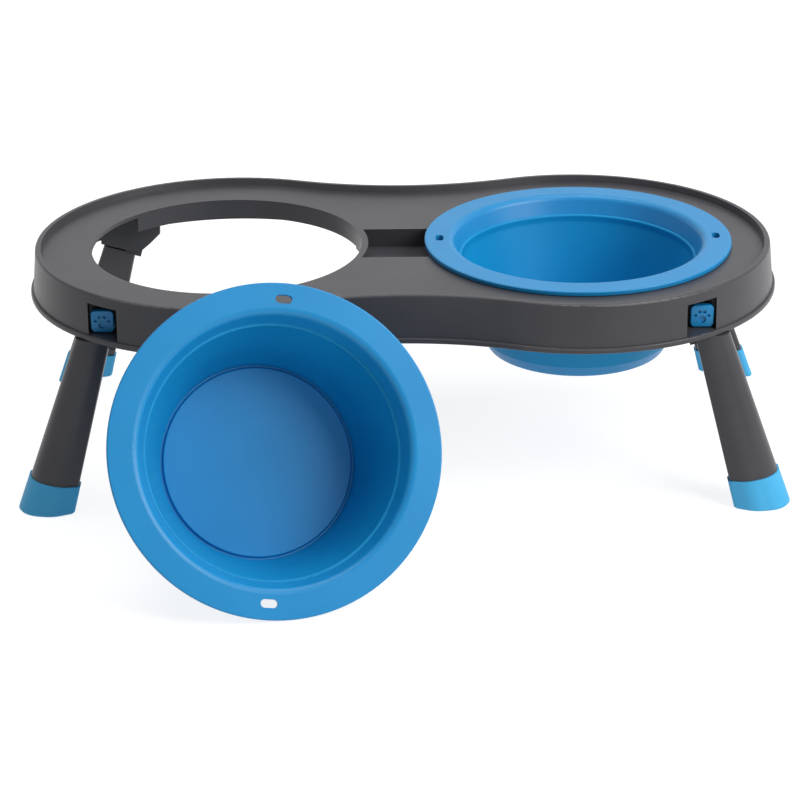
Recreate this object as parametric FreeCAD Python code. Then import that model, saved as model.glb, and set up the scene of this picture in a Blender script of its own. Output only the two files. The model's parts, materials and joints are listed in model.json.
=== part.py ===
"""Elevated double pet feeder: platform, four folding legs with release buttons, two collapsible bowls.

Millimetres. The origin is on the floor below the middle of the platform, +X to the right, +Y to the rear,
+Z up. Everything that comes four times is drawn once, for the rear right corner, and mirrored.
"""
import FreeCAD, Part
import math
import os

Vector = FreeCAD.Vector
os.makedirs("parts", exist_ok=True)

# How far a cutting or joining shape reaches past a surface, and how near counts as the same place.
OVERLAP = 1.0
TOLERANCE = 0.05

# Platform outline: two round lobes joined by a hollow waist.
HOLE_RADIUS = 86.8
BRIDGE_WIDTH = 51.8
LOBE_MARGIN = 35.9
WAIST_INSET = 19.5
HOLE_SPACING = 2 * HOLE_RADIUS + BRIDGE_WIDTH
LOBE_RADIUS = HOLE_RADIUS + LOBE_MARGIN
WAIST_HALF_WIDTH = LOBE_RADIUS - WAIST_INSET

# Platform section.
PLATE_TOP = 137.0
PLATE_THICKNESS = 2.5
LIP_RISE = 4.2
LIP_WIDTH = 4.6
LIP_ROUND = 1.5
SKIRT_DEPTH = 30.4
SKIRT_DRAFT = 3.0
SKIRT_WALL = 3.0
BEAD_OVERHANG = 1.3
BEAD_HEIGHT = 3.6
BEAD_ROUND = 1.0

# Bowl holes and the trough between them.
COLLAR_WALL = 3.0
COLLAR_DEPTH = 12.5
COLLAR_GAP_ANGLE = 86.0
TROUGH_HALF_WIDTH = 26.0
TROUGH_DEPTH = 12.0
TROUGH_WALL = 2.0
TROUGH_RING = 4.0

# Leg hinge, from the rear right corner.
CORNER_ANGLE = 56.4
CORNER_INSET = 23.6
HINGE_DROP = 26.5
PIN_DIAMETER = 4.0
PIN_CLEARANCE = 0.05
TONGUE_WIDTH = 8.4
SIDE_CLEARANCE = 0.3
INNER_EAR = 4.0
OUTER_EAR = 2.5
PIN_BITE = 1.5
HEAD_RADIUS = 5.5
EAR_REACH_IN = 17.0
EAR_REACH_OUT = 23.0
EAR_BEVEL = 7.0
HEAD_ROOM = 1.2

# Leg, drawn upright and then splayed about its hinge.
LEG_SPLAY = 15.7
SHOULDER_DROP = 8.5
STOP_GAP = 0.2
LEG_INNER_TOP = 1.2
LEG_INNER_FOOT = 4.2
LEG_WIDTH_TOP = 21.5
LEG_WIDTH_FOOT = 32.4
LEG_DEPTH_TOP = 18.0
LEG_SPREAD_INNER = 29.1
LEG_SPREAD_HEEL = 14.9
LEG_SPREAD_OUTER = 33.8
LEG_BULGE_TOP = 3.0
LEG_BULGE_FOOT = 5.0
LEG_BULGE_ROUND = 14.0
LEG_BULGE_GROWTH = 3.0
LEG_CREST_SHARE = 0.35
LEG_CORNER = 1.8
LEG_NOSE_TOP = 8.0
LEG_NOSE_FOOT = 16.0
LEG_HEEL = 2.6
LEG_WALL = 2.0
LEG_HOLLOW_SHARE = 0.8
LEG_OVERRUN = 14.0
COVER_RISE = 5.0
COVER_BACK = 0.5
COVER_GAP = 0.5

# Foot.
FOOT_WALL = 1.0
FOOT_SOLE = 4.0
FOOT_HEIGHT = 18.0
FOOT_TOP_TILT = 8.0
FOOT_BEVEL = 1.0

# Button and lock.
BUTTON_OFFSET = 3.2
BUTTON_DROP = 15.0
BUTTON_SIZE = 14.2
BUTTON_CORNER = 2.8
BUTTON_EDGE = 0.7
BUTTON_DEPTH = 4.0
BUTTON_TRAVEL = 3.0
BUTTON_GAP = 0.4
BUTTON_REST_GAP = 0.2
POCKET_WIDTH = 17.0
POCKET_WALL = 2.0
POCKET_BACK = 5.7
POCKET_INNER_ROOM = 2.0
POCKET_RAMP_LOW = 3.6
POCKET_RAMP_DROP = 0.1
FOLD_ROOM = 2.4
PAW_DEPTH = 1.2
STEM_WIDTH = 4.0
STEM_HEIGHT = 4.5
STEM_REACH = 0.4
HOOK_WIDTH = 3.0
HOOK_HEIGHT = 7.0
HOOK_BARB = 1.0
HOOK_RISE = 1.0
HOOK_REACH = 2.0
HOOK_PLAY = 0.1
WINDOW_GAP = 0.25
LOCK_GAP = 0.3
LOCK_STRIP = 0.8
LOCK_WIDTH = 5.0
LOCK_INSET = 1.4
LOCK_TOP_GAP = 0.5
LOCK_SIDE_ROOM = 1.0
LOCK_NOTCH = 2.2
LOCK_HOLDER_HEIGHT = 6.0
LOCK_HOLDER_WALL = 1.6

# Bowls, with heights measured from the platform's plate.
BOWL_CLEARANCE = 3.8
NECK_THICKNESS = 2.6
NECK_DEPTH = 8.5
NECK_DRAFT = 4.4
MOUTH_ROLL = 5.0
RIM_WIDTH = 13.0
RIM_THICKNESS = 3.2
RIM_EDGE = 0.9
TONGUE_DEPTH = 3.0
TONGUE_INSET = 0.8
BOWL_WALL = 2.0
STEP_IN = 1.6
WALL_STRAIGHT = 1.5
KNEE_INSET = 17.2
KNEE_DEPTH = 53.0
WALL_BOTTOM_INSET = 20.6
WALL_BOTTOM_DEPTH = 62.5
FLOOR_INSET = 23.1
FLOOR_DEPTH = 64.0
FLOOR_EDGE = 0.8
GROOVE_DEPTH = 1.8
GROOVE_FLARE = 0.8
BASE_TONGUE_INSET = 0.6
BASE_TONGUE = 0.8
BASE_THICKNESS = 5.3
BASE_INSET = 0.2
BASE_RING = 1.2
BASE_ROUND = 3.0
SLOT_LENGTH = 10.0
SLOT_WIDTH = 5.0
SLOT_OUT = 3.3

# The bowl that leans on the front of the platform.
LEAN_X = -73.1
LEAN_ELEVATION = 30.0
LEAN_TURN = 15.0
LEAN_ROLL = 79.5
LEAN_GAP = 0.3
LEAN_HALVINGS = 14

# Heights and places that follow from the sizes above.
LIP_TOP = PLATE_TOP + LIP_RISE
SKIRT_BOTTOM = LIP_TOP - SKIRT_DEPTH
PLATE_UNDER = PLATE_TOP - PLATE_THICKNESS
HALF_SPACING = HOLE_SPACING / 2
HINGE_X = HALF_SPACING + LOBE_RADIUS * math.cos(math.radians(CORNER_ANGLE))
HINGE_Z = PLATE_TOP - HINGE_DROP
BUTTON_X = HINGE_X + BUTTON_OFFSET
TONGUE_INNER_Y = LOBE_RADIUS * math.sin(math.radians(CORNER_ANGLE)) - CORNER_INSET
LEG_INNER_Y_FOOT = TONGUE_INNER_Y + LEG_SPREAD_INNER
LEG_INNER_Y_FOOT_OUTSIDE = TONGUE_INNER_Y + LEG_SPREAD_HEEL
LEG_OUTER_Y_FOOT = TONGUE_INNER_Y + LEG_SPREAD_OUTER
NECK_INNER = HOLE_RADIUS - BOWL_CLEARANCE - NECK_THICKNESS
MOUTH_RADIUS = NECK_INNER + MOUTH_ROLL
RIM_RADIUS = MOUTH_RADIUS + RIM_WIDTH
SLOT_RADIUS = MOUTH_RADIUS + SLOT_OUT
KNEE_RADIUS = NECK_INNER - KNEE_INSET
WALL_BOTTOM_RADIUS = NECK_INNER - WALL_BOTTOM_INSET
FLOOR_RADIUS = NECK_INNER - FLOOR_INSET
TONGUE_OUTER_Y = TONGUE_INNER_Y + TONGUE_WIDTH
INNER_EAR_FACE = TONGUE_INNER_Y - SIDE_CLEARANCE
OUTER_EAR_FACE = TONGUE_OUTER_Y + SIDE_CLEARANCE
HEAD_TOP = HINGE_Z + HEAD_RADIUS
BUTTON_Z = PLATE_TOP - BUTTON_DROP
BUTTON_LOW = BUTTON_Z - BUTTON_SIZE / 2
LOCK_Y = TONGUE_INNER_Y + LOCK_INSET
STEM_TIP = LOCK_Y + LOCK_STRIP + LOCK_GAP
POCKET_WALL_IN = STEM_TIP + STEM_REACH
POCKET_WALL_OUT = POCKET_WALL_IN + POCKET_BACK
BUTTON_BACK = POCKET_WALL_OUT + BUTTON_TRAVEL + BUTTON_REST_GAP
BUTTON_FACE = BUTTON_BACK + BUTTON_DEPTH
SINE = math.sin(math.radians(LEG_SPLAY))
COSINE = math.cos(math.radians(LEG_SPLAY))


def box(x0, x1, y0, y1, z0, z1):
    """A block between two corners."""
    return Part.makeBox(x1 - x0, y1 - y0, z1 - z0, Vector(x0, y0, z0))


def cylinder_y(radius, x, z, y0, y1):
    """A round bar along Y."""
    return Part.makeCylinder(radius, y1 - y0, Vector(x, y0, z), Vector(0, 1, 0))


def arc(start, middle, end):
    return Part.Arc(start, middle, end).toShape()


def outline(offset, z):
    """The figure-eight outline, moved outward by an offset. Its four arcs keep their centres."""
    spread = HALF_SPACING ** 2 + WAIST_HALF_WIDTH ** 2 - LOBE_RADIUS ** 2
    waist_radius = spread / (2 * (LOBE_RADIUS - WAIST_HALF_WIDTH))
    reach = LOBE_RADIUS + waist_radius
    lobe = LOBE_RADIUS + offset
    join_x = HALF_SPACING - lobe * HALF_SPACING / reach
    join_y = lobe * (WAIST_HALF_WIDTH + waist_radius) / reach
    end_x = HALF_SPACING + lobe
    waist = WAIST_HALF_WIDTH + offset
    edges = [
        arc(Vector(join_x, -join_y, z), Vector(end_x, 0, z), Vector(join_x, join_y, z)),
        arc(Vector(join_x, join_y, z), Vector(0, waist, z), Vector(-join_x, join_y, z)),
        arc(Vector(-join_x, join_y, z), Vector(-end_x, 0, z), Vector(-join_x, -join_y, z)),
        arc(Vector(-join_x, -join_y, z), Vector(0, -waist, z), Vector(join_x, -join_y, z)),
    ]
    return Part.Wire(edges)


def slab(low_offset, low_z, high_offset, high_z):
    """A solid with the platform's outline and drafted sides."""
    return Part.makeLoft([outline(low_offset, low_z), outline(high_offset, high_z)], True, True)


def skirt_offset(z):
    """How far the skirt's outside stands out from the outline at a height."""
    return SKIRT_DRAFT * (LIP_TOP - z) / SKIRT_DEPTH


def edges_at(shape, z):
    """The edges of a shape that lie flat at a height."""
    found = []
    for edge in shape.Edges:
        bounds = edge.BoundBox
        if abs(bounds.ZMin - z) < TOLERANCE and abs(bounds.ZMax - z) < TOLERANCE:
            found.append(edge)
    return found


def rounded_wire(corners, z):
    """A closed wire through corners (x, y, radius), each corner rounded by its radius."""
    arcs = []
    count = len(corners)
    for index in range(count):
        x, y, radius = corners[index]
        here = Vector(x, y, z)
        before = Vector(corners[index - 1][0], corners[index - 1][1], z)
        after = Vector(corners[(index + 1) % count][0], corners[(index + 1) % count][1], z)
        to_before = (before - here).normalize()
        to_after = (after - here).normalize()
        half = to_before.getAngle(to_after) / 2
        middle = (to_before + to_after).normalize()
        run = radius / math.tan(half)
        centre = here + middle * (radius / math.sin(half))
        arcs.append((here + to_before * run, centre - middle * radius, here + to_after * run))
    edges = []
    for index in range(count):
        start, middle, end = arcs[index]
        edges.append(arc(start, middle, end))
        edges.append(Part.makeLine(end, arcs[(index + 1) % count][0]))
    return Part.Wire(edges)


def rounded_block(x_half, z_half, radius, x, z, y0, y1):
    """A block with rounded corners, drawn in the XZ plane and pushed along Y."""
    corners = [(-x_half, -z_half, radius), (x_half, -z_half, radius),
               (x_half, z_half, radius), (-x_half, z_half, radius)]
    solid = Part.Face(rounded_wire(corners, 0)).extrude(Vector(0, 0, y1 - y0))
    solid.rotate(Vector(0, 0, 0), Vector(1, 0, 0), -90)
    solid.translate(Vector(x, y0, z))
    return solid


def revolved(points):
    """A ring from (radius, height) points, turned about Z."""
    corners = [Vector(radius, 0, height) for radius, height in points]
    face = Part.Face(Part.makePolygon(corners + corners[:1]))
    return face.revolve(Vector(0, 0, 0), Vector(0, 0, 1), 360)


def corner_copy(shape, corner):
    """Mirrors a rear right shape to another corner of the platform."""
    copy = shape.copy()
    if "left" in corner:
        copy = copy.mirror(Vector(0, 0, 0), Vector(1, 0, 0))
    if "front" in corner:
        copy = copy.mirror(Vector(0, 0, 0), Vector(0, 1, 0))
    return copy


def write(shape, name):
    """Writes the one solid of a shape as a piece."""
    shape.Solids[0].exportStep("parts/" + name + ".step")


CORNERS = ["front_left", "front_right", "rear_left", "rear_right"]


def splayed(shape):
    """Turns a leg drawn upright, with its hinge on the Y axis, into its splayed place."""
    shape = shape.copy()
    shape.rotate(Vector(0, 0, 0), Vector(0, 1, 0), -LEG_SPLAY)
    shape.translate(Vector(HINGE_X, 0, HINGE_Z))
    return shape


# Platform shell.
shell = slab(SKIRT_DRAFT, SKIRT_BOTTOM, 0, LIP_TOP)
shell = shell.makeFillet(LIP_ROUND, edges_at(shell, LIP_TOP))
bead_offset = SKIRT_DRAFT + BEAD_OVERHANG
bead_top = SKIRT_BOTTOM + BEAD_HEIGHT
bead = slab(bead_offset, SKIRT_BOTTOM, bead_offset, bead_top)
bead = bead.makeFillet(BEAD_ROUND, edges_at(bead, SKIRT_BOTTOM) + edges_at(bead, bead_top))
solid_block = shell.fuse(bead)
recess = slab(-LIP_WIDTH, PLATE_TOP, -LIP_WIDTH + LIP_RISE / 2, LIP_TOP + LIP_RISE)
cavity = slab(SKIRT_DRAFT - SKIRT_WALL, SKIRT_BOTTOM, skirt_offset(PLATE_UNDER) - SKIRT_WALL, PLATE_UNDER)
platform = solid_block.cut(recess).cut(cavity)

# Pockets and hinge ears, rear right.
pocket_left = BUTTON_X - POCKET_WIDTH / 2 - POCKET_INNER_ROOM
pocket_right = BUTTON_X + POCKET_WIDTH / 2
pocket_run = pocket_right - pocket_left
shoulder_side = (pocket_right + POCKET_WALL - HINGE_X - SHOULDER_DROP * SINE) / COSINE
EAR_BOTTOM = HINGE_Z - SHOULDER_DROP * COSINE + shoulder_side * SINE + STOP_GAP
pocket_floor = BUTTON_LOW - BUTTON_GAP
far_out = LOBE_RADIUS * 2
pocket_sides = box(pocket_left - POCKET_WALL, pocket_right + POCKET_WALL, POCKET_WALL_IN, far_out,
                   SKIRT_BOTTOM, PLATE_UNDER)
pocket_sides = pocket_sides.common(slab(SKIRT_DRAFT - SKIRT_WALL / 2, SKIRT_BOTTOM,
                                        skirt_offset(PLATE_UNDER) - SKIRT_WALL / 2, PLATE_UNDER))
outer_ear = box(HINGE_X - HEAD_RADIUS, pocket_right + POCKET_WALL, OUTER_EAR_FACE,
                OUTER_EAR_FACE + OUTER_EAR, EAR_BOTTOM, pocket_floor)
ear_profile = Part.makePolygon([
    Vector(HINGE_X - EAR_REACH_IN, 0, PLATE_UNDER),
    Vector(HINGE_X - EAR_REACH_IN, 0, SKIRT_BOTTOM + EAR_BEVEL),
    Vector(HINGE_X - EAR_REACH_IN + EAR_BEVEL, 0, SKIRT_BOTTOM),
    Vector(HINGE_X - PIN_DIAMETER, 0, EAR_BOTTOM),
    Vector(HINGE_X + PIN_DIAMETER, 0, EAR_BOTTOM),
    Vector(HINGE_X + EAR_REACH_OUT, 0, SKIRT_BOTTOM),
    Vector(HINGE_X + EAR_REACH_OUT, 0, PLATE_UNDER),
    Vector(HINGE_X - EAR_REACH_IN, 0, PLATE_UNDER)])
inner_ear = Part.Face(ear_profile).extrude(Vector(0, INNER_EAR, 0))
inner_ear.translate(Vector(0, INNER_EAR_FACE - INNER_EAR, 0))
ear_keep = slab(SKIRT_DRAFT - SKIRT_WALL / 2, EAR_BOTTOM - OVERLAP,
                skirt_offset(PLATE_UNDER) - SKIRT_WALL / 2, PLATE_UNDER)
inner_ear = inner_ear.common(ear_keep)

# What is cut away for the pocket: the button's space, the ramp below it and the room for the leg's head.
button_space = box(pocket_left, pocket_right, POCKET_WALL_OUT, far_out, pocket_floor, PLATE_UNDER)
ramp_top = OUTER_EAR_FACE + OUTER_EAR
ramp_profile = Part.makePolygon([
    Vector(0, ramp_top, pocket_floor + OVERLAP), Vector(0, ramp_top, pocket_floor - POCKET_RAMP_DROP),
    Vector(0, far_out / 2, SKIRT_BOTTOM + POCKET_RAMP_LOW),
    Vector(0, far_out, SKIRT_BOTTOM + POCKET_RAMP_LOW),
    Vector(0, far_out, pocket_floor + OVERLAP), Vector(0, ramp_top, pocket_floor + OVERLAP)])
ramp_space = Part.Face(ramp_profile).extrude(Vector(pocket_run, 0, 0))
ramp_space.translate(Vector(pocket_left, 0, 0))
head_space = box(pocket_left - 2 * POCKET_WALL, pocket_right + 2 * POCKET_WALL,
                 INNER_EAR_FACE, OUTER_EAR_FACE, EAR_BOTTOM - OVERLAP, HEAD_TOP + HEAD_ROOM)
below_ramp = Part.makePolygon([
    Vector(0, ramp_top, SKIRT_BOTTOM - OVERLAP),
    Vector(0, ramp_top, pocket_floor - POCKET_RAMP_DROP - POCKET_WALL),
    Vector(0, far_out / 2, SKIRT_BOTTOM + POCKET_RAMP_LOW - POCKET_WALL),
    Vector(0, far_out / 2, SKIRT_BOTTOM - OVERLAP),
    Vector(0, ramp_top, SKIRT_BOTTOM - OVERLAP)])
ramp_hollow = Part.Face(below_ramp).extrude(Vector(pocket_run, 0, 0))
ramp_hollow.translate(Vector(pocket_left, 0, 0))
ramp_hollow = ramp_hollow.common(cavity)

# Windows for the button's stem and hook, the relief in the inner ear and the holder of the lock strip.
stem_x = HINGE_X + STEM_WIDTH / 2
stem_z = HEAD_TOP + 2 * HEAD_ROOM + STEM_HEIGHT / 2
hook_x = BUTTON_X + BUTTON_SIZE / 2 - HOOK_BARB - HOOK_WIDTH / 2
hook_z = BUTTON_Z + HOOK_RISE
stem_window = box(stem_x - STEM_WIDTH / 2 - WINDOW_GAP, stem_x + STEM_WIDTH / 2 + WINDOW_GAP,
                  POCKET_WALL_IN - OVERLAP, POCKET_WALL_OUT + OVERLAP,
                  stem_z - STEM_HEIGHT / 2 - WINDOW_GAP, stem_z + STEM_HEIGHT / 2 + WINDOW_GAP)
hook_window = box(hook_x - HOOK_WIDTH / 2 - WINDOW_GAP, hook_x + HOOK_WIDTH / 2 + WINDOW_GAP,
                  POCKET_WALL_IN - OVERLAP, POCKET_WALL_OUT + OVERLAP,
                  hook_z - HOOK_HEIGHT / 2 - WINDOW_GAP, hook_z + HOOK_HEIGHT / 2 + WINDOW_GAP)
holder_back = LOCK_Y - LOCK_HOLDER_WALL
ear_relief = box(HINGE_X - LOCK_WIDTH / 2 - LOCK_SIDE_ROOM, pocket_right, INNER_EAR_FACE - INNER_EAR / 2,
                 holder_back, HEAD_TOP - LOCK_NOTCH - LOCK_SIDE_ROOM, PLATE_UNDER)
holder = box(HINGE_X - LOCK_WIDTH / 2 - LOCK_HOLDER_WALL, HINGE_X + LOCK_WIDTH / 2 + LOCK_HOLDER_WALL,
             holder_back, POCKET_WALL_IN + POCKET_BACK / 2, PLATE_UNDER - LOCK_HOLDER_HEIGHT, PLATE_UNDER)
strip_top = PLATE_UNDER - LOCK_TOP_GAP
lock_strip = box(HINGE_X - LOCK_WIDTH / 2, HINGE_X + LOCK_WIDTH / 2, LOCK_Y, LOCK_Y + LOCK_STRIP,
                 HEAD_TOP - LOCK_NOTCH + LOCK_GAP, strip_top)
pin_start = INNER_EAR_FACE - PIN_BITE
pin_end = OUTER_EAR_FACE + PIN_BITE
hinge_pin = cylinder_y(PIN_DIAMETER / 2, HINGE_X, HINGE_Z, pin_start, pin_end)

# The pocket's inner side wall ends higher than the skirt, which leaves room for the folded leg.
fold_room = box(pocket_left - 2 * POCKET_WALL, pocket_left, OUTER_EAR_FACE, far_out,
                SKIRT_BOTTOM - OVERLAP, SKIRT_BOTTOM + FOLD_ROOM)
corner_add = pocket_sides.cut([head_space, fold_room]).fuse([outer_ear, inner_ear])
corner_cut = button_space.fuse([ramp_space, ramp_hollow, stem_window, hook_window])

# Collars below the holes and the trough in the bridge.
collar_low = PLATE_TOP - COLLAR_DEPTH
trough_low = PLATE_TOP - TROUGH_DEPTH
adds = []
cuts = []
for side in (-1, 1):
    centre = Vector(side * HALF_SPACING, 0, collar_low)
    ring = Part.makeCylinder(HOLE_RADIUS + COLLAR_WALL, PLATE_UNDER - collar_low, centre)
    gap_reach = 2 * HOLE_RADIUS
    gap_half = gap_reach * math.tan(math.radians(COLLAR_GAP_ANGLE / 2))
    gap = Part.Face(Part.makePolygon([
        centre,
        centre + Vector(side * gap_reach, -gap_half, 0),
        centre + Vector(side * gap_reach, gap_half, 0),
        centre])).extrude(Vector(0, 0, PLATE_UNDER - collar_low))
    adds.append(ring.cut(gap))
    cuts.append(Part.makeCylinder(HOLE_RADIUS, LIP_TOP, Vector(side * HALF_SPACING, 0, 0)))
trough_half_outer = TROUGH_HALF_WIDTH + TROUGH_WALL
trough_outer = box(-HALF_SPACING, HALF_SPACING, -trough_half_outer, trough_half_outer,
                   trough_low - TROUGH_WALL, PLATE_UNDER)
trough_inner = box(-HALF_SPACING, HALF_SPACING, -TROUGH_HALF_WIDTH, TROUGH_HALF_WIDTH, trough_low, LIP_TOP)
for side in (-1, 1):
    trough_inner = trough_inner.cut(Part.makeCylinder(HOLE_RADIUS + TROUGH_RING, LIP_TOP,
                                                      Vector(side * HALF_SPACING, 0, 0)))
adds.append(trough_outer)
cuts.append(trough_inner)
for corner in CORNERS:
    adds.append(corner_copy(corner_add, corner))
    cuts.append(corner_copy(corner_cut, corner))
platform = platform.fuse(adds).cut(cuts)
reliefs = [corner_copy(ear_relief, corner) for corner in CORNERS]
holders = [corner_copy(holder, corner) for corner in CORNERS]
seats = [corner_copy(piece, corner) for piece in (lock_strip, hinge_pin) for corner in CORNERS]
platform = platform.cut(reliefs).fuse(holders).cut(seats).removeSplitter()

# Leg: an upright tapered bar with a tongue, splayed at the end.
outer_y_top = TONGUE_INNER_Y + LEG_DEPTH_TOP


def leg_section(share, grow, z):
    """The leg's outline at a share of the way from the shoulder to the floor, grown by an amount."""
    width = LEG_WIDTH_TOP + (LEG_WIDTH_FOOT - LEG_WIDTH_TOP) * share
    inner_side = -LEG_INNER_TOP - (LEG_INNER_FOOT - LEG_INNER_TOP) * share
    outer_side = inner_side + width
    y_in = TONGUE_INNER_Y + (LEG_INNER_Y_FOOT - TONGUE_INNER_Y) * share
    y_in_outside = TONGUE_INNER_Y + (LEG_INNER_Y_FOOT_OUTSIDE - TONGUE_INNER_Y) * share
    y_out = outer_y_top + (LEG_OUTER_Y_FOOT - outer_y_top) * share
    nose = LEG_NOSE_TOP + (LEG_NOSE_FOOT - LEG_NOSE_TOP) * share
    bulge = LEG_BULGE_TOP + (LEG_BULGE_FOOT - LEG_BULGE_TOP) * share
    corner = max(LEG_CORNER + grow, LEG_CORNER / 3)
    return rounded_wire([
        (inner_side - grow, y_in - grow, corner),
        (outer_side + grow, y_in_outside - grow, LEG_HEEL + grow),
        (outer_side + grow, y_out + grow, nose + grow),
        (inner_side + width * LEG_CREST_SHARE, y_out + bulge + grow,
         LEG_BULGE_ROUND + LEG_BULGE_GROWTH * grow),
        (inner_side - grow, y_out + grow, corner)], z)


foot_run = HINGE_Z / COSINE
LEG_LENGTH = foot_run + LEG_OVERRUN
long_share = (LEG_LENGTH - SHOULDER_DROP) / (foot_run - SHOULDER_DROP)


def leg_bar(grow, share):
    """The leg from its shoulder to a share of its length, grown by an amount."""
    low = SHOULDER_DROP + share * (foot_run - SHOULDER_DROP)
    bar = Part.makeLoft([leg_section(0, grow, -SHOULDER_DROP), leg_section(share, grow, -low)], True, True)
    return splayed(bar)


tongue = box(-HEAD_RADIUS, HEAD_RADIUS, TONGUE_INNER_Y, TONGUE_OUTER_Y, -SHOULDER_DROP - OVERLAP, 0)
tongue = tongue.fuse(cylinder_y(HEAD_RADIUS, 0, 0, TONGUE_INNER_Y, TONGUE_OUTER_Y))
tongue = splayed(tongue)
floor_space = 4 * LOBE_RADIUS
below_sole = box(0, floor_space, 0, floor_space, -floor_space, FOOT_SOLE)
below_floor = box(0, floor_space, 0, floor_space, -floor_space, 0)
leg_outer = leg_bar(0, long_share).cut(below_sole)
leg_hollow = leg_bar(-LEG_WALL, LEG_HOLLOW_SHARE)
hollow_top = splayed(box(-LEG_LENGTH, LEG_LENGTH, 0, floor_space, -SHOULDER_DROP - 2 * LEG_WALL, LEG_LENGTH))
leg_hollow = leg_hollow.cut(hollow_top)
cover_share = -(COVER_RISE + SHOULDER_DROP) / (foot_run - SHOULDER_DROP)
cover_ends = [leg_section(cover_share, 0, COVER_RISE), leg_section(0, 0, -SHOULDER_DROP)]
cover = Part.makeLoft(cover_ends, True, True)
cover_space = box(HINGE_X - COVER_BACK, floor_space, ramp_top + SIDE_CLEARANCE, floor_space,
                  0, SKIRT_BOTTOM - COVER_GAP)
cover = splayed(cover).common(cover_space)
leg = leg_outer.fuse([tongue, cover]).cut(leg_hollow)
leg = leg.cut(cylinder_y(PIN_DIAMETER / 2 + PIN_CLEARANCE, HINGE_X, HINGE_Z, 0, floor_space))
notch = box(HINGE_X - LOCK_WIDTH / 2 - LOCK_GAP, HINGE_X + LOCK_WIDTH / 2 + LOCK_GAP, 0,
            LOCK_Y + LOCK_STRIP + LOCK_GAP, HEAD_TOP - LOCK_NOTCH, HEAD_TOP + HEAD_RADIUS)
leg = leg.cut(notch).removeSplitter()

# Foot: a soft cap around the lower end of the leg.
foot_low_x = HINGE_X + HINGE_Z * SINE / COSINE - LEG_INNER_FOOT
above_foot = box(-floor_space, floor_space, -floor_space, floor_space, 0, floor_space)
above_foot.rotate(Vector(0, 0, 0), Vector(0, 1, 0), -FOOT_TOP_TILT)
above_foot.translate(Vector(foot_low_x, 0, FOOT_HEIGHT))
foot = leg_bar(FOOT_WALL, long_share).cut([below_floor, above_foot])
foot = foot.makeChamfer(FOOT_BEVEL, edges_at(foot, 0))
foot = foot.cut(leg_outer)

# Button with its stem and hook.
button = rounded_block(BUTTON_SIZE / 2, BUTTON_SIZE / 2, BUTTON_CORNER, BUTTON_X, BUTTON_Z,
                       BUTTON_BACK, BUTTON_FACE)
face_edges = [edge for edge in button.Edges if edge.BoundBox.YMin > BUTTON_FACE - TOLERANCE]
button = button.makeFillet(BUTTON_EDGE, face_edges)
paw = [(0.0, -2.0, 2.5), (-4.0, 0.6, 1.05), (-1.5, 3.0, 1.1), (1.5, 3.0, 1.1), (4.0, 0.6, 1.05)]
paw_cuts = [cylinder_y(radius, BUTTON_X + x, BUTTON_Z + z, BUTTON_FACE - PAW_DEPTH, BUTTON_FACE + OVERLAP)
            for x, z, radius in paw]
stem = box(stem_x - STEM_WIDTH / 2, stem_x + STEM_WIDTH / 2, STEM_TIP, BUTTON_BACK + OVERLAP,
           stem_z - STEM_HEIGHT / 2, stem_z + STEM_HEIGHT / 2)
hook_tip = POCKET_WALL_IN - HOOK_REACH
hook = box(hook_x - HOOK_WIDTH / 2, hook_x + HOOK_WIDTH / 2, hook_tip, BUTTON_BACK + OVERLAP,
           hook_z - HOOK_HEIGHT / 2, hook_z + HOOK_HEIGHT / 2)
barb = box(hook_x, hook_x + HOOK_WIDTH / 2 + HOOK_BARB, hook_tip, POCKET_WALL_IN - HOOK_PLAY,
           hook_z - HOOK_HEIGHT / 2, hook_z + HOOK_HEIGHT / 2)
button = button.cut(paw_cuts).fuse([stem, hook, barb]).removeSplitter()

for corner in CORNERS:
    write(corner_copy(leg, corner), corner + "_leg")
    write(corner_copy(foot, corner), corner + "_foot")
    write(corner_copy(hinge_pin, corner), corner + "_hinge_pin")
    write(corner_copy(button, corner), corner + "_button")
    write(corner_copy(lock_strip, corner), corner + "_lock_spring")
write(platform, "platform")

# Bowl: a stiff rim, a soft wall that folds and a stiff base, about the Z axis with the plate's top at zero.
mouth_round = MOUTH_RADIUS - NECK_INNER
neck_low_inner = NECK_INNER - NECK_DRAFT
neck_low_outer = neck_low_inner + NECK_THICKNESS
tongue_inner = neck_low_inner + TONGUE_INSET
tongue_outer = neck_low_outer - TONGUE_INSET
rim = revolved([
    (RIM_RADIUS, 0), (RIM_RADIUS, RIM_THICKNESS), (NECK_INNER, RIM_THICKNESS), (neck_low_inner, -NECK_DEPTH),
    (tongue_inner, -NECK_DEPTH), (tongue_inner, -NECK_DEPTH - TONGUE_DEPTH),
    (tongue_outer, -NECK_DEPTH - TONGUE_DEPTH), (tongue_outer, -NECK_DEPTH), (neck_low_outer, -NECK_DEPTH),
    (NECK_INNER + NECK_THICKNESS, 0)])
mouth_edges = [edge for edge in edges_at(rim, RIM_THICKNESS)
               if abs(edge.BoundBox.XMax - NECK_INNER) < TOLERANCE]
rim = rim.makeFillet(mouth_round, mouth_edges)
outer_edges = [edge for edge in rim.Edges
               if abs(edge.BoundBox.XMax - RIM_RADIUS) < TOLERANCE and edge.Closed]
rim = rim.makeFillet(RIM_EDGE, outer_edges)
slot_run = SLOT_LENGTH / 2 - SLOT_WIDTH / 2
for side in (-1, 1):
    x = side * SLOT_RADIUS
    slot = box(x - SLOT_WIDTH / 2, x + SLOT_WIDTH / 2, -slot_run, slot_run, -OVERLAP, RIM_THICKNESS + OVERLAP)
    for end in (-slot_run, slot_run):
        slot_end = Part.makeCylinder(SLOT_WIDTH / 2, RIM_THICKNESS + 2 * OVERLAP, Vector(x, end, -OVERLAP))
        slot = slot.fuse(slot_end)
    rim = rim.cut(slot)

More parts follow.
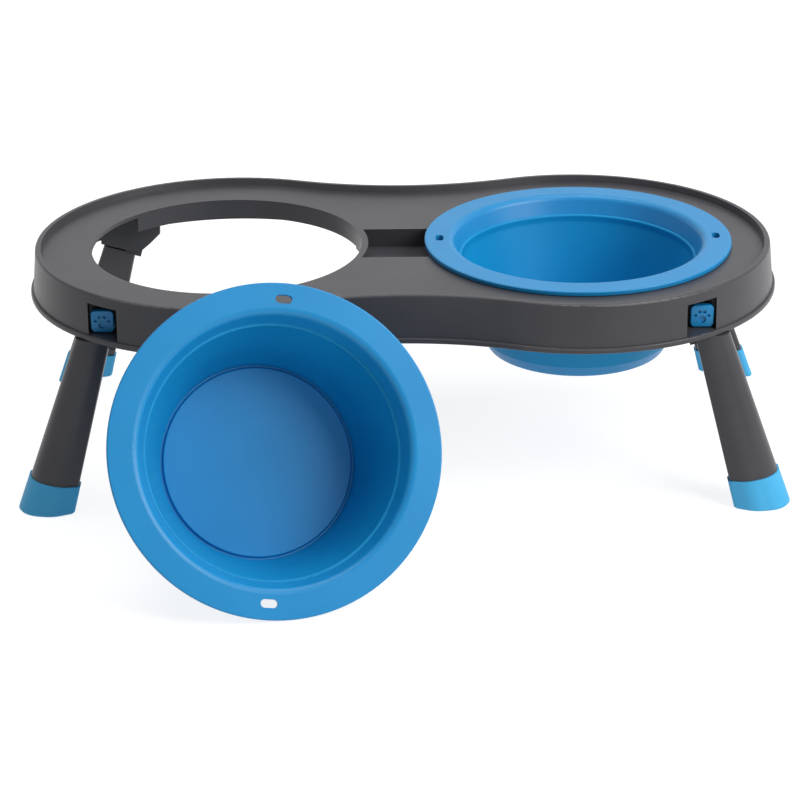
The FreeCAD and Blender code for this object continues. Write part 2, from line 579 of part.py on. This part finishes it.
wall_top_inner = neck_low_inner - STEP_IN
wall_low_outer = WALL_BOTTOM_RADIUS + BOWL_WALL
wall_straight = NECK_DEPTH + TONGUE_DEPTH + WALL_STRAIGHT
knee_outer = KNEE_RADIUS + BOWL_WALL
base_tongue_inner = WALL_BOTTOM_RADIUS + BASE_TONGUE_INSET
base_tongue_outer = base_tongue_inner + BASE_TONGUE
slope = (WALL_BOTTOM_RADIUS - KNEE_RADIUS) / (WALL_BOTTOM_DEPTH - KNEE_DEPTH)
tongue_shift = TONGUE_DEPTH * slope
base_tongue_top = -WALL_BOTTOM_DEPTH + TONGUE_DEPTH
wall = revolved([
    (wall_top_inner, -NECK_DEPTH), (tongue_inner, -NECK_DEPTH), (tongue_inner, -NECK_DEPTH - TONGUE_DEPTH),
    (tongue_outer, -NECK_DEPTH - TONGUE_DEPTH), (tongue_outer, -NECK_DEPTH), (neck_low_outer, -NECK_DEPTH),
    (neck_low_outer, -wall_straight), (knee_outer, -KNEE_DEPTH), (wall_low_outer, -WALL_BOTTOM_DEPTH),
    (base_tongue_outer, -WALL_BOTTOM_DEPTH), (base_tongue_outer - tongue_shift, base_tongue_top),
    (base_tongue_inner - tongue_shift, base_tongue_top), (base_tongue_inner, -WALL_BOTTOM_DEPTH),
    (WALL_BOTTOM_RADIUS, -WALL_BOTTOM_DEPTH), (KNEE_RADIUS, -KNEE_DEPTH), (wall_top_inner, -wall_straight)])

base_low = FLOOR_DEPTH + BASE_THICKNESS + BASE_RING
base_outer = FLOOR_RADIUS - BASE_INSET
groove_low = FLOOR_DEPTH + GROOVE_DEPTH
base = revolved([
    (0, -FLOOR_DEPTH), (FLOOR_RADIUS, -FLOOR_DEPTH), (FLOOR_RADIUS + GROOVE_FLARE, -groove_low),
    (WALL_BOTTOM_RADIUS - GROOVE_FLARE, -groove_low), (WALL_BOTTOM_RADIUS, -WALL_BOTTOM_DEPTH),
    (base_tongue_inner, -WALL_BOTTOM_DEPTH), (base_tongue_inner - tongue_shift, base_tongue_top),
    (base_tongue_outer - tongue_shift, base_tongue_top), (base_tongue_outer, -WALL_BOTTOM_DEPTH),
    (wall_low_outer, -WALL_BOTTOM_DEPTH), (base_outer, -base_low),
    (base_outer - 2 * BASE_THICKNESS, -base_low), (base_outer - 2 * BASE_THICKNESS, -base_low + BASE_RING),
    (0, -base_low + BASE_RING)])
base_edge = [edge for edge in edges_at(base, -base_low)
             if abs(edge.BoundBox.XMax - base_outer) < TOLERANCE]
base = base.makeFillet(BASE_ROUND, base_edge)
floor_edge = [edge for edge in edges_at(base, -FLOOR_DEPTH)
              if abs(edge.BoundBox.XMax - FLOOR_RADIUS) < TOLERANCE]
base = base.makeFillet(FLOOR_EDGE, floor_edge)
bowl = {"rim": rim, "wall": wall, "base": base}

seat = FreeCAD.Placement(Vector(HALF_SPACING, 0, PLATE_TOP), FreeCAD.Rotation())
for name in bowl:
    piece = bowl[name].copy()
    piece.Placement = seat
    write(piece, "seated_bowl_" + name)

# The loose bowl stands on its rim's back edge and is moved to the rear until it rests on the skirt.
turn = FreeCAD.Rotation(Vector(0, 0, 1), LEAN_ROLL)
tilt = FreeCAD.Rotation(Vector(1, 0, 0), 90 - LEAN_ELEVATION)
swing = FreeCAD.Rotation(Vector(0, 0, 1), LEAN_TURN)
lean = swing.multiply(tilt).multiply(turn)
lift_angle = math.radians(LEAN_ELEVATION)
rim_centre_z = (RIM_RADIUS - RIM_EDGE) * math.cos(lift_angle) + RIM_EDGE - RIM_EDGE * math.sin(lift_angle)
body_outside = revolved([
    (0, RIM_THICKNESS), (RIM_RADIUS, RIM_THICKNESS), (RIM_RADIUS, 0), (neck_low_outer, 0),
    (neck_low_outer, -wall_straight), (knee_outer, -KNEE_DEPTH), (wall_low_outer, -WALL_BOTTOM_DEPTH),
    (base_outer, -base_low), (0, -base_low)])
near = -3 * RIM_RADIUS
far = -LOBE_RADIUS
for step in range(LEAN_HALVINGS):
    middle = (near + far) / 2
    body_outside.Placement = FreeCAD.Placement(Vector(LEAN_X, middle, rim_centre_z), lean)
    if body_outside.distToShape(solid_block)[0] > LEAN_GAP:
        near = middle
    else:
        far = middle
lean_place = FreeCAD.Placement(Vector(LEAN_X, near, rim_centre_z), lean)
for name in bowl:
    piece = bowl[name].copy()
    piece.Placement = lean_place
    write(piece, "loose_bowl_" + name)
print("loose bowl at", lean_place.Base, "faces", lean.multVec(Vector(0, 0, 1)))
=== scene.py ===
# %% [markdown]
# # An elevated double pet feeder
#
# A low dark platform on four splayed legs holds two blue bowls. One bowl sits in the right hole and the
# other one leans on the front edge, so its inside faces the viewer. The stiff pieces come from the part's
# solids and only need good materials here. The soft bowl walls are made again as smooth surfaces, because
# they bend when a bowl is pressed flat.

# %% Load the solids
import json
import bpy
import numpy as np
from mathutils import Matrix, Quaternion, Vector


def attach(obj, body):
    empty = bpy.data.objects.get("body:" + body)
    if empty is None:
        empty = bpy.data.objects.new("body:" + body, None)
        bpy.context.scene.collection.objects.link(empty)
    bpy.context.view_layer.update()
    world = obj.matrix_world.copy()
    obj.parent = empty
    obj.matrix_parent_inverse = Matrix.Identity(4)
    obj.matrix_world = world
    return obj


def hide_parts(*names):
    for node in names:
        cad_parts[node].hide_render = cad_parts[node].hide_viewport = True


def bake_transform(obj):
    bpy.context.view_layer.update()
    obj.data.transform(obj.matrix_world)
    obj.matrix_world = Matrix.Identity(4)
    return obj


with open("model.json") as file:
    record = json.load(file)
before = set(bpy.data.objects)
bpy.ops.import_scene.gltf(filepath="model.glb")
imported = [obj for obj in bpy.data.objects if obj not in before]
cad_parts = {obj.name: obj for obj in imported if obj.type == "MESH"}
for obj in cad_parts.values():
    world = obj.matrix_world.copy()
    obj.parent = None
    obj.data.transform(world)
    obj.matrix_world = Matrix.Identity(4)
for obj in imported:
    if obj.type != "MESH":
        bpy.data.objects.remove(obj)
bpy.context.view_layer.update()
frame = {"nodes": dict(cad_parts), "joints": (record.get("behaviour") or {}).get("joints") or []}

# %% [markdown]
# ## Small helpers for node trees
#
# A material in Blender is a graph of nodes. Two short helpers keep the recipes below readable: one makes a
# node with its settings, and the other joins an output to an input.

# %% Node helpers


def add_node(tree, kind, place, **values):
    """A new node of a kind at a place in the editor, with named inputs set to constants."""
    node = tree.nodes.new(kind)
    node.location = place
    for socket, value in values.items():
        node.inputs[socket.replace("_", " ")].default_value = value
    return node


def join(tree, source, output, target, socket):
    """A link from one node's output to another node's input."""
    tree.links.new(source.outputs[output], target.inputs[socket])


print("helpers ready")

# %% [markdown]
# ## Moulded grain
#
# Injection-moulded plastic is never perfectly even. The tool is etched with a fine grain of a third of a
# millimetre, and the colour drifts a little over a few centimetres. Both plastics and the rubber show this
# at different strengths, so the effect is one node group with the sizes as its inputs. It reads Object
# coordinates, which are metres here, so the scale is the number of waves in a metre.

# %% Shared effect: moulded grain
grain_group = bpy.data.node_groups.new("moulded_grain", "ShaderNodeTree")
for label, default in (("Grain Scale", 3000.0), ("Drift Scale", 25.0)):
    socket = grain_group.interface.new_socket(label, in_out="INPUT", socket_type="NodeSocketFloat")
    socket.default_value = default
for label in ("Grain", "Drift"):
    grain_group.interface.new_socket(label, in_out="OUTPUT", socket_type="NodeSocketFloat")
group_in = add_node(grain_group, "NodeGroupInput", (-700, 0))
group_out = add_node(grain_group, "NodeGroupOutput", (500, 0))
coordinates = add_node(grain_group, "ShaderNodeTexCoord", (-700, 250))
grain_noise = add_node(grain_group, "ShaderNodeTexNoise", (-350, 250), Detail=2.0, Roughness=0.55)
drift_noise = add_node(grain_group, "ShaderNodeTexNoise", (-350, 0), Detail=3.0, Roughness=0.5)
for texture in (grain_noise, drift_noise):
    join(grain_group, coordinates, "Object", texture, "Vector")
join(grain_group, group_in, "Grain Scale", grain_noise, "Scale")
join(grain_group, group_in, "Drift Scale", drift_noise, "Scale")
join(grain_group, grain_noise, "Fac", group_out, "Grain")
join(grain_group, drift_noise, "Fac", group_out, "Drift")
print("group", grain_group.name, "with", len(grain_group.nodes), "nodes")

# %% [markdown]
# ## The five finishes
#
# The platform and the legs are dark grey plastic with a satin grain. The bowl rims, the bowl bases and the
# buttons are a stiff blue plastic with a soft shine. The bowl walls are a duller blue rubber, and the feet
# a paler one. The pins and the strips behind the buttons are steel. Each finish mixes two near colours with
# the drift, and its grain gives the roughness and a shallow bump. The Principled shader itself stays in the
# material.

# %% Finishes
DRIFT_SCALE = 25.0
NOISE_LOW = 0.3
NOISE_HIGH = 0.7
BUMP_STRENGTH = 0.35


def moulded_finish(name, dark, light, rough, grain_scale, grain_depth, shine=0.5):
    """A moulded material: two colours by the drift, and roughness and a bump by the grain."""
    material = bpy.data.materials.new(name)
    material.use_nodes = True
    tree = material.node_tree
    shader = tree.nodes["Principled BSDF"]
    grain = add_node(tree, "ShaderNodeGroup", (-900, 100))
    grain.node_tree = grain_group
    grain.inputs["Grain Scale"].default_value = grain_scale
    grain.inputs["Drift Scale"].default_value = DRIFT_SCALE
    tint = add_node(tree, "ShaderNodeValToRGB", (-600, 250))
    tint.color_ramp.elements[0].position = NOISE_LOW
    tint.color_ramp.elements[0].color = (*dark, 1.0)
    tint.color_ramp.elements[1].position = NOISE_HIGH
    tint.color_ramp.elements[1].color = (*light, 1.0)
    gloss = add_node(tree, "ShaderNodeMapRange", (-600, -50), From_Min=NOISE_LOW, From_Max=NOISE_HIGH,
                     To_Min=rough[0], To_Max=rough[1])
    bump = add_node(tree, "ShaderNodeBump", (-300, -250), Strength=BUMP_STRENGTH, Distance=grain_depth)
    join(tree, grain, "Drift", tint, "Fac")
    join(tree, grain, "Grain", gloss, "Value")
    join(tree, grain, "Grain", bump, "Height")
    join(tree, tint, "Color", shader, "Base Color")
    join(tree, gloss, "Result", shader, "Roughness")
    join(tree, bump, "Normal", shader, "Normal")
    shader.inputs["Specular IOR Level"].default_value = shine
    return material


charcoal = moulded_finish("charcoal_plastic", (0.042, 0.042, 0.048), (0.051, 0.050, 0.056),
                          rough=(0.30, 0.44), grain_scale=1600.0, grain_depth=0.00020, shine=0.32)
blue_hard = moulded_finish("blue_plastic", (0.004, 0.225, 0.510), (0.007, 0.245, 0.545),
                           rough=(0.34, 0.46), grain_scale=1800.0, grain_depth=0.00004, shine=0.40)
blue_soft = moulded_finish("blue_rubber", (0.001, 0.235, 0.500), (0.003, 0.260, 0.540),
                           rough=(0.42, 0.58), grain_scale=2200.0, grain_depth=0.00008, shine=0.25)
blue_pale = moulded_finish("light_blue_rubber", (0.045, 0.370, 0.660), (0.060, 0.400, 0.700),
                           rough=(0.45, 0.60), grain_scale=2200.0, grain_depth=0.00008, shine=0.35)
steel = moulded_finish("steel", (0.50, 0.50, 0.51), (0.58, 0.58, 0.59),
                       rough=(0.22, 0.36), grain_scale=5000.0, grain_depth=0.00002)
steel.node_tree.nodes["Principled BSDF"].inputs["Metallic"].default_value = 1.0
finishes = {"charcoal_plastic": charcoal, "blue_plastic": blue_hard, "blue_rubber": blue_soft,
            "light_blue_rubber": blue_pale, "steel": steel}
print("finishes:", ", ".join(finishes))

# %% [markdown]
# ## Dressing the solids
#
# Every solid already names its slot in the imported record, and the imported material carries that name.
# Swapping each slot for the finish of the same name dresses all the stiff pieces in one go.

# %% Give each solid its finish
dressed = 0
for node in frame["nodes"].values():
    for place in node.material_slots:
        place.material = finishes[place.material.name.split(".")[0]]
        dressed += 1
print("slots dressed:", dressed)

# %% [markdown]
# ## The folding bowl walls
#
# On the real bowl a soft wall joins the stiff rim to the stiff base, and it rolls inwards when the bowl is
# pressed flat. A wall is a surface of revolution: one closed profile of radius and height, turned about the
# bowl's axis. The profile has a rounded shoulder at the rim, a short upright band, a slanted side and a
# knee above the base.

# %% Wall profile
OUTER_TOP_RADIUS = 0.0786
INNER_TOP_RADIUS = 0.0744
KNEE_RADIUS = 0.0632
LOW_RADIUS = 0.0598
WALL_THICKNESS = 0.0020
TOP_HEIGHT = -0.0085
STRAIGHT_HEIGHT = -0.0130
KNEE_HEIGHT = -0.0530
LOW_HEIGHT = -0.0625
SHOULDER_ROUND = 0.0012
SHOULDER_POINTS = 10
SIDE_POINTS = 60


def wall_profile():
    """Closed profile of radius and height, down the inside and up the outside.

    Heights are evenly spaced, and the radius at each height is read from the few corners of the section. The
    shoulder is a quarter circle: radius = corner + round (1 - sin t), height = top - round (1 - cos t)."""
    quarter = np.linspace(0.0, np.pi / 2, SHOULDER_POINTS)
    shoulder_radius = INNER_TOP_RADIUS + SHOULDER_ROUND * (1 - np.sin(quarter))
    shoulder_height = TOP_HEIGHT - SHOULDER_ROUND * (1 - np.cos(quarter))
    heights = [LOW_HEIGHT, KNEE_HEIGHT, STRAIGHT_HEIGHT, TOP_HEIGHT]
    inside = [LOW_RADIUS, KNEE_RADIUS, INNER_TOP_RADIUS, INNER_TOP_RADIUS]
    outside = [LOW_RADIUS + WALL_THICKNESS, KNEE_RADIUS + WALL_THICKNESS, OUTER_TOP_RADIUS, OUTER_TOP_RADIUS]
    down = np.linspace(TOP_HEIGHT - SHOULDER_ROUND, LOW_HEIGHT, SIDE_POINTS)
    up = np.linspace(LOW_HEIGHT, TOP_HEIGHT, SIDE_POINTS)
    inner_radius = np.interp(down[1:], heights, inside)
    outer_radius = np.interp(up, heights, outside)
    radius = np.concatenate([shoulder_radius, inner_radius, outer_radius])
    height = np.concatenate([shoulder_height, down[1:], up])
    return radius, height


print("profile points:", len(wall_profile()[0]))

# %% [markdown]
# Turning the profile gives a grid that is closed both ways: every row of the grid is one angle and every
# column is one profile point. The corner numbers of all the quads come from the grid's index array and its
# copies rolled by one, so no loop runs over the vertices.

# %% Turn the profile into a wall
AROUND = 256
SHARP_ANGLE = 35


def turned_wall(name, centre, axis):
    """A surface of revolution: place = centre + radius (cos a u + sin a v) + height axis.

    The directions u and v lie across the axis."""
    axis = np.array(axis) / np.linalg.norm(axis)
    across = np.cross(axis, (1.0, 0.0, 0.0))
    across = across / np.linalg.norm(across)
    aside = np.cross(axis, across)
    radius, height = wall_profile()
    angle = np.linspace(0.0, 2 * np.pi, AROUND, endpoint=False)[:, None, None]
    turned = np.cos(angle) * across + np.sin(angle) * aside
    points = np.array(centre) + radius[None, :, None] * turned + height[None, :, None] * axis
    index = np.arange(AROUND * len(radius)).reshape(AROUND, len(radius))
    beside = np.roll(index, -1, axis=0)
    quads = np.stack([index, beside, np.roll(beside, -1, axis=1), np.roll(index, -1, axis=1)], axis=-1)
    mesh = bpy.data.meshes.new(name)
    mesh.from_pydata(points.reshape(-1, 3), [], quads.reshape(-1, 4))
    mesh.polygons.foreach_set("use_smooth", np.ones(len(mesh.polygons), dtype=bool))
    mesh.set_sharp_from_angle(angle=np.radians(SHARP_ANGLE))
    mesh.materials.append(blue_soft)
    wall = bpy.data.objects.new(name, mesh)
    bpy.context.scene.collection.objects.link(wall)
    return wall


SEATED_CENTRE = (0.1127, 0.0, 0.1370)
LOOSE_CENTRE = (-0.0731, -0.204918, 0.084887)
lift_axes = {joint["child"]: joint["axis"] for joint in frame["joints"] if joint["name"].endswith("lift_out")}
for bowl, centre in (("seated_bowl", SEATED_CENTRE), ("loose_bowl", LOOSE_CENTRE)):
    axis = np.array(lift_axes[bowl])
    wall = turned_wall(bowl + "_soft_wall", centre, axis)
    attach(wall, bowl)
    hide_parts(bowl + "_wall")
    wall.parent = None
    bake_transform(wall)
    print(wall.name, len(wall.data.polygons), "quads")

# %% [markdown]
# ## Floor and world
#
# A pale floor and a pale world give the plain studio look. The camera sees the floor partly as even white,
# which lifts it without putting more light on the object, and the soft shadow stays. For rays of light the
# floor also glows weakly, a glow that lights the object from below in place of light bounced off the floor.

# %% Floor and world
FLOOR_HALF = 6.0
FLOOR_SEEN_WHITE = 0.6
# Weak glow of the floor for rays of light: it lights the object from below in place of bounced light.
FLOOR_BOUNCE_GLOW = 0.16
FLOOR_EMISSION = 1.4
FLOOR_COLOUR = (0.90, 0.90, 0.90, 1.0)
FLOOR_ROUGHNESS = 0.8
AMBIENT_COLOUR = (0.96, 0.98, 1.0, 1.0)
AMBIENT_STRENGTH = 0.20
WHITE = (1.0, 1.0, 1.0, 1.0)


def seen_rays(tree):
    """A value of 1 for rays from the camera, off gloss or through glass, and 0 for rays of light."""
    path = add_node(tree, "ShaderNodeLightPath", (-900, 400))
    shown = add_node(tree, "ShaderNodeMath", (-700, 400))
    shown.operation = "MAXIMUM"
    through = add_node(tree, "ShaderNodeMath", (-500, 400))
    through.operation = "MAXIMUM"
    join(tree, path, "Is Camera Ray", shown, 0)
    join(tree, path, "Is Glossy Ray", shown, 1)
    join(tree, shown, "Value", through, 0)
    join(tree, path, "Is Transmission Ray", through, 1)
    return through


floor_mesh = bpy.data.meshes.new("studio_floor")
floor_corners = [(FLOOR_HALF * x, FLOOR_HALF * y, 0) for x, y in ((-1, -1), (1, -1), (1, 1), (-1, 1))]
floor_mesh.from_pydata(floor_corners, [], [(0, 1, 2, 3)])
floor = bpy.data.objects.new("studio_floor", floor_mesh)
bpy.context.scene.collection.objects.link(floor)
floor_paint = bpy.data.materials.new("studio_floor")
floor_paint.use_nodes = True
floor_tree = floor_paint.node_tree
floor_shader = floor_tree.nodes["Principled BSDF"]
floor_shader.inputs["Base Color"].default_value = FLOOR_COLOUR
floor_shader.inputs["Roughness"].default_value = FLOOR_ROUGHNESS
floor_light = add_node(floor_tree, "ShaderNodeEmission", (0, -300), Color=WHITE, Strength=FLOOR_EMISSION)
# Emission share: even white for the camera, and for rays of light a weak glow that stands in for bounced
# light.
floor_share = add_node(floor_tree, "ShaderNodeMapRange", (-250, 400), To_Min=FLOOR_BOUNCE_GLOW,
                       To_Max=FLOOR_SEEN_WHITE)
floor_mix = add_node(floor_tree, "ShaderNodeMixShader", (250, 200))
join(floor_tree, seen_rays(floor_tree), "Value", floor_share, "Value")
join(floor_tree, floor_share, "Result", floor_mix, "Fac")
floor_tree.links.new(floor_shader.outputs["BSDF"], floor_mix.inputs[1])
floor_tree.links.new(floor_light.outputs["Emission"], floor_mix.inputs[2])
join(floor_tree, floor_mix, "Shader", floor_tree.nodes["Material Output"], "Surface")
floor_mesh.materials.append(floor_paint)

world = bpy.data.worlds.new("studio_world")
bpy.context.scene.world = world
world.use_nodes = True
world_tree = world.node_tree
ambient = world_tree.nodes["Background"]
ambient.inputs["Color"].default_value = AMBIENT_COLOUR
ambient.inputs["Strength"].default_value = AMBIENT_STRENGTH
white = add_node(world_tree, "ShaderNodeBackground", (0, -200), Color=WHITE, Strength=1.0)
world_mix = add_node(world_tree, "ShaderNodeMixShader", (250, 100))
join(world_tree, seen_rays(world_tree), "Value", world_mix, "Fac")
world_tree.links.new(ambient.outputs["Background"], world_mix.inputs[1])
world_tree.links.new(white.outputs["Background"], world_mix.inputs[2])
join(world_tree, world_mix, "Shader", world_tree.nodes["World Output"], "Surface")
print("floor and world ready")

# %% [markdown]
# ## Light and camera
#
# A large lamp at the right gives the bright right sides, one above lights the plate and the bowls, and a
# very weak one at the left keeps the shaded sides readable. The camera has the place, the roll and the
# focal length that line the part up with the picture that it is made from.

# %% Lamps and camera
LAMP_AIM = (0.0, 0.0, 0.1)


def soft_lamp(name, place, size, power):
    """A square area lamp at a place, turned to face the part."""
    lamp = bpy.data.lights.new(name, "AREA")
    lamp.size = size
    lamp.energy = power
    holder = bpy.data.objects.new(name, lamp)
    holder.location = place
    holder.rotation_euler = (Vector(LAMP_AIM) - Vector(place)).to_track_quat("-Z", "Y").to_euler()
    bpy.context.scene.collection.objects.link(holder)


soft_lamp("key_lamp", (1.4, -0.8, 1.3), size=1.2, power=34.0)
soft_lamp("top_lamp", (0.0, 0.3, 2.0), size=1.4, power=18.0)
soft_lamp("fill_lamp", (-1.4, -1.3, 0.9), size=1.2, power=0.3)

EYE = Vector((0.01265, -1.57351, 0.71512))
TARGET = Vector((-0.00406, 0.13597, -0.03291))
FOCAL_PIXELS = 2600.0
PICTURE_PIXELS = 800
SENSOR_WIDTH = 36.0
CAMERA_ROLL = -0.73
camera_data = bpy.data.cameras.new("photo_camera")
camera_data.sensor_width = SENSOR_WIDTH
camera_data.sensor_fit = "HORIZONTAL"
camera_data.lens = FOCAL_PIXELS / PICTURE_PIXELS * SENSOR_WIDTH
camera = bpy.data.objects.new("photo_camera", camera_data)
camera.location = EYE
roll = Quaternion((0.0, 0.0, 1.0), np.radians(CAMERA_ROLL))
camera.rotation_euler = ((TARGET - EYE).to_track_quat("-Z", "Y") @ roll).to_euler()
bpy.context.scene.collection.objects.link(camera)
bpy.context.scene.camera = camera
bpy.context.scene.view_settings.view_transform = "Standard"
print("lens", round(camera_data.lens, 2), "mm")

# %% [markdown]
# ## Finish
#
# The last cell hands the scene over.

# %% Hand over
print("scene handed over")
